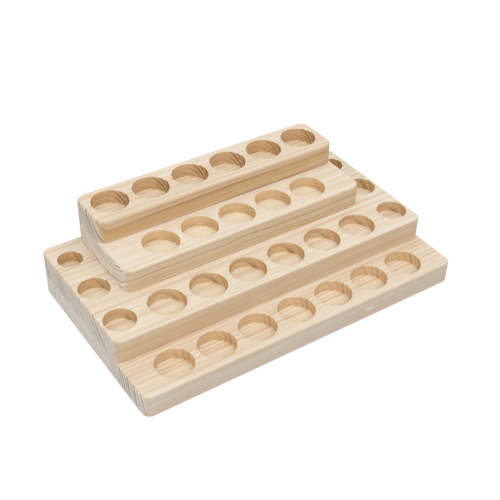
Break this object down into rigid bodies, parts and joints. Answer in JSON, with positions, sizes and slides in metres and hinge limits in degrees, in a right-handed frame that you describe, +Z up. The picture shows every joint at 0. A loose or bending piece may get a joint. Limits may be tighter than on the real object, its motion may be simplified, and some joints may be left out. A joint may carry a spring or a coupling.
{
  "type": "stepped bottle rack",
  "caption": "Solid pine display rack of stacked boards that step up from front to back, with flat-bottomed round pockets that hold small bottles upright.",
  "frame": {"origin": "middle of the underside, on the surface that the rack stands on", "axes": "+Z up, -Y towards the low front step, +X along the rack to the right as seen from the front"},
  "size_m": [0.29, 0.17, 0.08],
  "materials": {
    "pine": "bare sanded pine",
    "beech": "bare turned beech"
  },
  "bodies": {
    "root": {"base_board": "pine", "second_board": "pine", "third_board": "pine", "top_board": "pine", "base_dowels": "beech", "middle_dowels": "beech", "top_dowels": "beech"}
  },
  "joints": []
}
